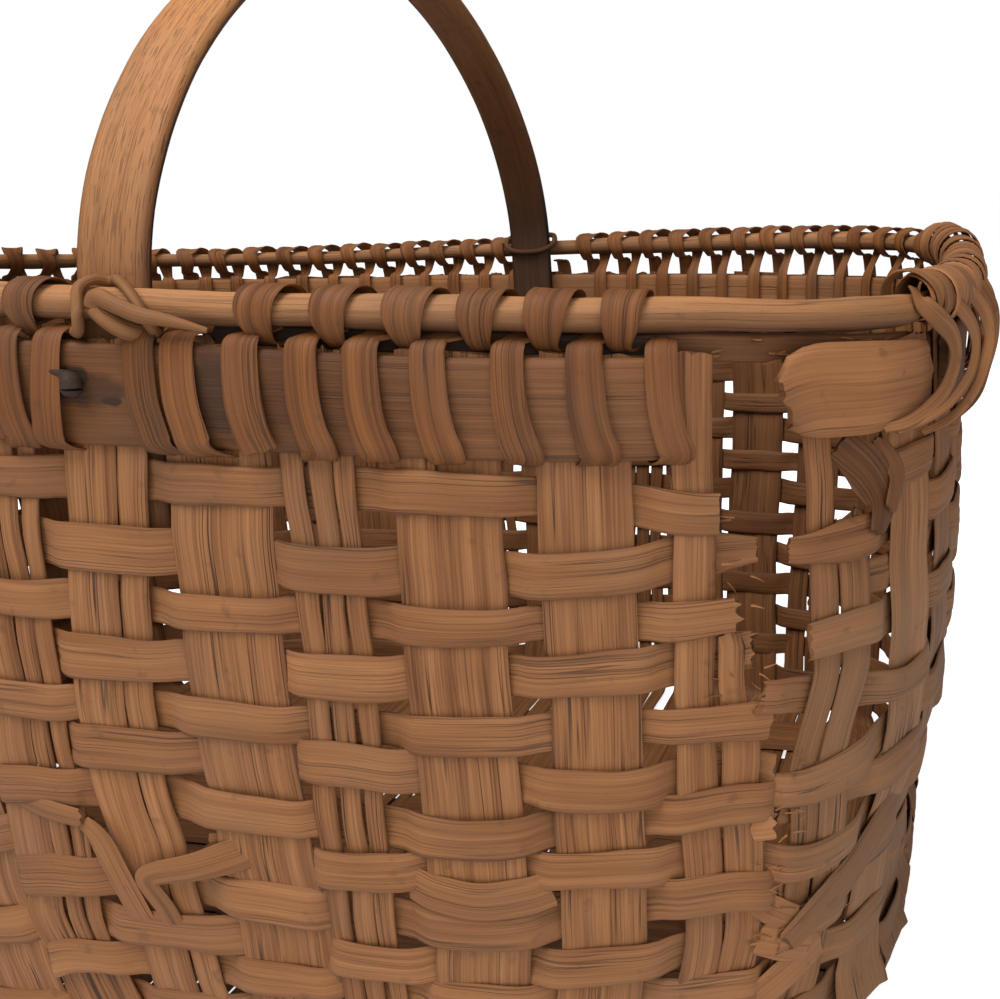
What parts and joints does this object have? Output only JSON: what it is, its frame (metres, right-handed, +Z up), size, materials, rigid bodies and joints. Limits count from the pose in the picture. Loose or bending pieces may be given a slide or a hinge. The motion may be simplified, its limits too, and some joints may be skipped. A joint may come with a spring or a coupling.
{
  "type": "mushroom foraging basket",
  "caption": "Rectangular foraging basket woven from flat wood splints, with rounded corners, a lashed rim and a fixed bentwood hoop handle.",
  "frame": {"origin": "on the surface that the basket stands on, under the middle of its bounding box", "axes": "+X along the basket's length, -Y towards the near long wall, +Z up; the handle arches from the near wall to the far wall"},
  "size_m": [0.4474, 0.3354, 0.3522],
  "materials": {
    "stake_wood": "bare weathered splint, matte",
    "weaver_wood": "bare weathered splint, matte",
    "band_wood": "bare aged wood, worn",
    "rod_wood": "bare aged wood, worn smooth",
    "lashing_wood": "bare dark fibrous splint",
    "handle_wood": "bare wood, polished by the hand",
    "nail_iron": "rusted"
  },
  "bodies": {
    "root": {"crosswise_stake_01": "stake_wood", "crosswise_stake_02": "stake_wood", "crosswise_stake_03": "stake_wood", "crosswise_stake_04": "stake_wood", "crosswise_stake_05": "stake_wood", "crosswise_stake_06": "stake_wood", "crosswise_stake_07": "stake_wood", "crosswise_stake_08": "stake_wood", "crosswise_stake_09": "stake_wood", "crosswise_stake_10": "stake_wood", "crosswise_stake_11": "stake_wood", "crosswise_stake_12": "stake_wood", "crosswise_stake_13": "stake_wood", "lengthwise_stake_1": "stake_wood", "lengthwise_stake_2": "stake_wood", "lengthwise_stake_3": "stake_wood", "lengthwise_stake_4": "stake_wood", "lengthwise_stake_5": "stake_wood", "lengthwise_stake_6": "stake_wood", "lengthwise_stake_7": "stake_wood", "weaver_01": "weaver_wood", "weaver_02": "weaver_wood", "weaver_03": "weaver_wood", "weaver_04": "weaver_wood", "weaver_05": "weaver_wood", "weaver_06": "weaver_wood", "weaver_07": "weaver_wood", "weaver_08": "weaver_wood", "weaver_09": "weaver_wood", "weaver_10": "weaver_wood", "weaver_11": "weaver_wood", "weaver_12": "weaver_wood", "outer_rim_band": "band_wood", "inner_rim_band": "band_wood", "rim_rod": "rod_wood", "lashing_near_right": "lashing_wood", "lashing_right": "lashing_wood", "lashing_far_left": "lashing_wood", "lashing_near_left": "lashing_wood", "hoop_handle": "handle_wood", "handle_nail_near": "nail_iron", "handle_nail_far": "nail_iron", "handle_tie_near": "lashing_wood", "handle_tie_far": "lashing_wood"}
  },
  "joints": []
}
